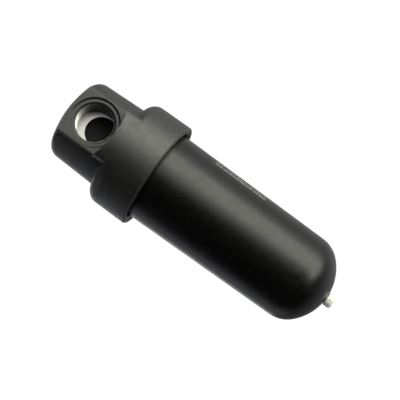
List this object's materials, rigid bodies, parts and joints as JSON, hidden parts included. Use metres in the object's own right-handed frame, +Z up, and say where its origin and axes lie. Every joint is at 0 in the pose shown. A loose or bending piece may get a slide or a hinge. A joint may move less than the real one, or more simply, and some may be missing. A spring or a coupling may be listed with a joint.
{
  "type": "compressed air filter",
  "caption": "In-line compressed air filter with threaded ports in a domed head, a screwed-on bowl, a coalescing element and a float drain.",
  "frame": {"origin": "where the axis of the two pipe ports crosses the axis of the bowl", "axes": "+Z up along the bowl towards the domed top of the head, +X out of the inlet port"},
  "size_m": [0.0932, 0.0932, 0.262],
  "materials": {
    "head_coat": "cast, with a satin black coat, bare in the ports",
    "bowl_coat": "drawn, with a satin black coat",
    "nitrile": "matte",
    "cap_nylon": "moulded, satin",
    "core_steel": "perforated sheet",
    "cage_steel": "perforated sheet",
    "guide_steel": "turned",
    "strainer_steel": "wire cloth",
    "media_fibre": "pleated glass fibre",
    "foam": "open foam sleeve",
    "resin": "cast resin",
    "drain_nylon": "moulded",
    "float_foam": "cellular",
    "seat_rubber": "matte",
    "brass": "turned",
    "knob_nylon": "off-white, slightly translucent"
  },
  "bodies": {
    "head": {"filter_head": "head_coat"},
    "element": {"element_top_cap": "cap_nylon", "element_spigot_o_rings": "nitrile", "element_inner_core": "core_steel", "element_media": "media_fibre", "element_outer_cage": "cage_steel", "element_foam_sock": "foam", "element_bottom_cap": "cap_nylon", "element_potting": "resin"},
    "bowl_seal": {"bowl_o_ring": "nitrile"},
    "bowl_unit": {"bowl": "bowl_coat", "drain_housing": "drain_nylon", "drain_housing_o_ring": "nitrile", "drain_cap": "drain_nylon", "drain_guide_tube": "guide_steel", "drain_strainer": "strainer_steel"},
    "float": {"drain_float": "float_foam", "drain_needle": "guide_steel"},
    "knob": {"drain_knob": "knob_nylon", "drain_stem": "brass", "drain_seat": "seat_rubber", "drain_knob_o_ring": "nitrile"}
  },
  "joints": [
    {"name": "element_drop", "type": "slide", "parent": "head", "child": "element", "axis": [0, 0, -1], "range_m": [0, 0.016]},
    {"name": "bowl_pull_off", "type": "slide", "parent": "element", "child": "bowl_seal", "axis": [0, 0, -1], "range_m": [0, 0.185]},
    {"name": "bowl_turn", "type": "hinge", "parent": "bowl_seal", "child": "bowl_unit", "pos_m": [0, 0, 0], "axis": [0, 0, -1], "range_deg": [0, 1440]},
    {"name": "float_rise", "type": "slide", "parent": "bowl_unit", "child": "float", "axis": [0, 0, 1], "range_m": [0, 0.005]},
    {"name": "drain_knob_turn", "type": "hinge", "parent": "bowl_unit", "child": "knob", "pos_m": [0, 0, -0.22733], "axis": [0, 0, -1], "range_deg": [0, 360]}
  ],
  "couplings": [
    {"joint": "element_drop", "follows": "bowl_turn", "m_per_rad": 0.00063662}
  ]
}
